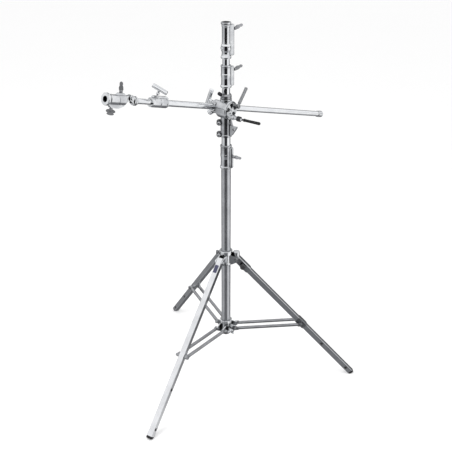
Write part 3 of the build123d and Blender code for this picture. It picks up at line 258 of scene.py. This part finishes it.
def black_plastic():
    """Moulded black plastic with a fine grain."""
    material, tree, shader = new_material("black_plastic")
    grain = noise(tree, object_point(tree), 1400.0, 2.0)
    cloud = noise(tree, object_point(tree), 30.0, 3.0)
    colour = blend_colour(tree, cloud, (0.02, 0.02, 0.022), (0.045, 0.045, 0.048))
    tree.links.new(colour, shader.inputs["Base Color"])
    tree.links.new(spread(tree, cloud, 0.3, 0.7, 0.38, 0.52), shader.inputs["Roughness"])
    bump(tree, shader, grain, 0.00012, 0.4)
    return material


def rubber():
    """Black rubber with a little dust in its grain."""
    material, tree, shader = new_material("black_rubber")
    grain = noise(tree, object_point(tree), 900.0, 3.0)
    dust = noise(tree, object_point(tree), 45.0, 5.0)
    share = spread(tree, dust, 0.5, 0.75, 0.0, 1.0)
    colour = blend_colour(tree, share, (0.006, 0.006, 0.007), (0.025, 0.024, 0.023))
    tree.links.new(colour, shader.inputs["Base Color"])
    tree.links.new(spread(tree, dust, 0.3, 0.7, 0.55, 0.8), shader.inputs["Roughness"])
    bump(tree, shader, grain, 0.0002, 0.5)
    return material


def label():
    """Plain dark blue foil under a clear coat."""
    material, tree, shader = new_material("label_foil")
    cloud = noise(tree, object_point(tree), 60.0, 2.0)
    colour = blend_colour(tree, cloud, (0.02, 0.022, 0.06), (0.04, 0.042, 0.10))
    tree.links.new(colour, shader.inputs["Base Color"])
    shader.inputs["Roughness"].default_value = 0.3
    shader.inputs["Coat Weight"].default_value = 0.6
    return material


plastic = black_plastic()
black_rubber = rubber()
foil = label()
cover = drum_cover()
knurl = knurled()

BY_SLOT = {
    "chrome": chrome,
    "satin_steel": satin,
    "cast_metal": cast,
    "bolts": zinc,
    "dark_metal": black_steel,
    "rubber": black_rubber,
    "black_plastic": plastic,
    "label": foil,
}
for part in frame["record"]["subparts"]:
    paint(BY_SLOT[part["material_slot"]], part["node"])


for number in (1, 2, 3):
    paint(brace_steel, f"brace_{number}", f"brace_{number}_ends")
    paint(leg_steel, f"leg_{number}")
# these wings, heads, the guide and the knob get the darker, painted-shade copy of the cast chrome
paint(shaded_cast, "receiver_lock_wing", "riser_3_lock_wing", "base_lock_wing")
paint(shaded_cast, "riser_1_head", "leg_collar_knob")
paint(cast, "levelling_sleeve")
paint(shaded_cast, "levelling_guide")
paint(shaded_cast, "receiver_top_wing", "receiver_low_wing")
# the bracket and the base casting get the darker, painted-shade copy of the cast chrome
paint(shaded_bracket_cast, "boom_bracket", "base_casting")
paint(cover, "bracket_cover")
paint(knurl, "tilt_lock_handle")


# ------------------------------------------------------------------- the floor

FLOOR_SIZE = 60.0


def make_floor():
    """A plain pale floor that the metal doesn't mirror."""
    material, tree, shader = new_material("pale_floor")
    cloud = noise(tree, object_point(tree), 0.8, 2.0)
    colour = blend_colour(tree, cloud, (0.97, 0.97, 0.97), (0.98, 0.98, 0.98))
    tree.links.new(colour, shader.inputs["Base Color"])
    shader.inputs["Roughness"].default_value = 0.9
    bpy.ops.mesh.primitive_plane_add(size=FLOOR_SIZE, location=(0.0, 0.0, cad_box[0].z))
    floor = bpy.context.object
    floor.name = "floor"
    floor.data.materials.append(material)
    floor.visible_glossy = False


make_floor()


# ------------------------------------------------------------------- the light

WHITE_WALL = (0.95, 0.955, 0.965)
GREY_CEILING = (0.55, 0.56, 0.57)
GREY_FLOOR = (0.20, 0.204, 0.212)
LEFT_WALL = (0.60, 0.61, 0.62)
FAR_LEFT_WALL = (0.28, 0.285, 0.295)
FAR_RIGHT_WALL = (0.05, 0.052, 0.056)
BEHIND = (0.12, 0.123, 0.13)
BEHIND_WAY = (0.0, 0.93, -0.37)
FRONT_WALL = (0.006, 0.006, 0.007)
FRONT_LOW = (0.17, 0.175, 0.185)

# zones of the studio's walls in degrees: where each starts, is full, is last full and ends
LOW_SIDE = (-47.0, -38.0, 0.0, 6.0)
LEFT_ZONE = (-150.0, -140.0, -84.0, -72.0)
FAR_LEFT_ZONE = (-80.0, -72.0, -12.0, -4.0)
FAR_RIGHT_ZONE = (-10.0, -4.0, 66.0, 72.0)

# soft edges in degrees: height of the ceiling and floor, of the front wall's top and its half width
CEILING_EDGE = (60.0, 75.0)
FLOOR_EDGE = (-40.0, -55.0)
FRONT_HEIGHT = (-30.0, -18.0)
FRONT_WIDTH = (33.0, 41.0)

# how closely a reflection has to point along BEHIND_WAY to start and to finish turning dark, as a cosine
BEHIND_EDGE = (0.55, 0.88)


def degrees_round(tree, direction):
    """The compass angle of a direction from +Y towards +X, and its height above the horizon, in degrees."""
    split = tree.nodes.new("ShaderNodeSeparateXYZ")
    tree.links.new(direction, split.inputs["Vector"])
    round_angle = maths(tree, "ARCTAN2", split.outputs["X"], split.outputs["Y"])
    height = maths(tree, "ARCSINE", split.outputs["Z"])
    return maths(tree, "DEGREES", round_angle), maths(tree, "DEGREES", height)


def make_world():
    """Plain white for the camera and for soft light. Reflections see a white studio with dark sides.

    The compass angle is 0 behind the stand, 180 at the camera and positive to the right."""
    world = bpy.data.worlds.new("studio")
    bpy.context.scene.world = world
    world.use_nodes = True
    tree = world.node_tree
    tree.nodes.clear()
    place = tree.nodes.new("ShaderNodeTexCoord")
    turn, height = degrees_round(tree, place.outputs["Generated"])
    from_front = maths(tree, "SUBTRACT", 180.0, maths(tree, "ABSOLUTE", turn))
    low_side = window(tree, height, *LOW_SIDE)
    room = blend_colour(tree, spread(tree, height, *CEILING_EDGE, 0.0, 1.0), WHITE_WALL, GREY_CEILING)
    room = blend_colour(tree, spread(tree, height, *FLOOR_EDGE, 0.0, 1.0), room, GREY_FLOOR)

    left = maths(tree, "MULTIPLY", window(tree, turn, *LEFT_ZONE), low_side)
    room = blend_colour(tree, left, room, LEFT_WALL)
    far_left = maths(tree, "MULTIPLY", window(tree, turn, *FAR_LEFT_ZONE), low_side)
    room = blend_colour(tree, far_left, room, FAR_LEFT_WALL)
    far_right = maths(tree, "MULTIPLY", window(tree, turn, *FAR_RIGHT_ZONE), low_side)
    room = blend_colour(tree, far_right, room, FAR_RIGHT_WALL)
    toward = tree.nodes.new("ShaderNodeVectorMath")
    toward.operation = "DOT_PRODUCT"
    toward.inputs[1].default_value = BEHIND_WAY
    tree.links.new(place.outputs["Generated"], toward.inputs[0])
    behind = spread(tree, toward.outputs["Value"], *BEHIND_EDGE, 0.0, 1.0)
    room = blend_colour(tree, behind, room, BEHIND)

    front_grey = blend_colour(tree, spread(tree, height, *FRONT_HEIGHT, 0.0, 1.0), FRONT_LOW, FRONT_WALL)
    front = maths(tree, "MULTIPLY", spread(tree, from_front, *FRONT_WIDTH, 1.0, 0.0), low_side)
    room = blend_colour(tree, front, room, front_grey)

    path = tree.nodes.new("ShaderNodeLightPath")
    seen = blend_colour(tree, path.outputs["Is Glossy Ray"], (1.0, 1.0, 1.0), room)
    background = tree.nodes.new("ShaderNodeBackground")
    tree.links.new(seen, background.inputs["Color"])
    output = tree.nodes.new("ShaderNodeOutputWorld")
    tree.links.new(background.outputs["Background"], output.inputs["Surface"])


def soft_light(name, way, size, power, target):
    """A square soft light at target + way that faces the target and isn't mirrored in the metal."""
    lamp = bpy.data.lights.new(name, "AREA")
    lamp.size = size
    lamp.energy = power
    holder = bpy.data.objects.new(name, lamp)
    bpy.context.scene.collection.objects.link(holder)
    holder.location = target + Vector(way)
    holder.rotation_euler = (-Vector(way)).to_track_quat("-Z", "Y").to_euler()
    holder.visible_glossy = False


make_world()
middle = (cad_box[0] + cad_box[1]) / 2
soft_light("key", (-2.2, -2.0, 2.6), 2.2, 60.0, middle)
soft_light("fill", (2.8, -1.2, 1.6), 2.0, 22.0, middle)


# ------------------------------------------------------------------ the camera

SENSOR = 36.0
LENS = 63.72
CAMERA_RIGHT = 0.1956
CAMERA_BACK = 3.861
CAMERA_HEIGHT = 2.81
CAMERA_PITCH = 64.07
CAMERA_YAW = 2.9

camera = bpy.data.objects.new("camera", bpy.data.cameras.new("camera"))
bpy.context.scene.collection.objects.link(camera)
bpy.context.scene.camera = camera
camera.data.sensor_width = SENSOR
camera.data.lens = LENS
camera.location = (COLUMN.x + CAMERA_RIGHT, COLUMN.y - CAMERA_BACK, CAMERA_HEIGHT)
camera.rotation_euler = (radians(CAMERA_PITCH), 0.0, radians(CAMERA_YAW))

bpy.context.scene.view_settings.view_transform = "Standard"
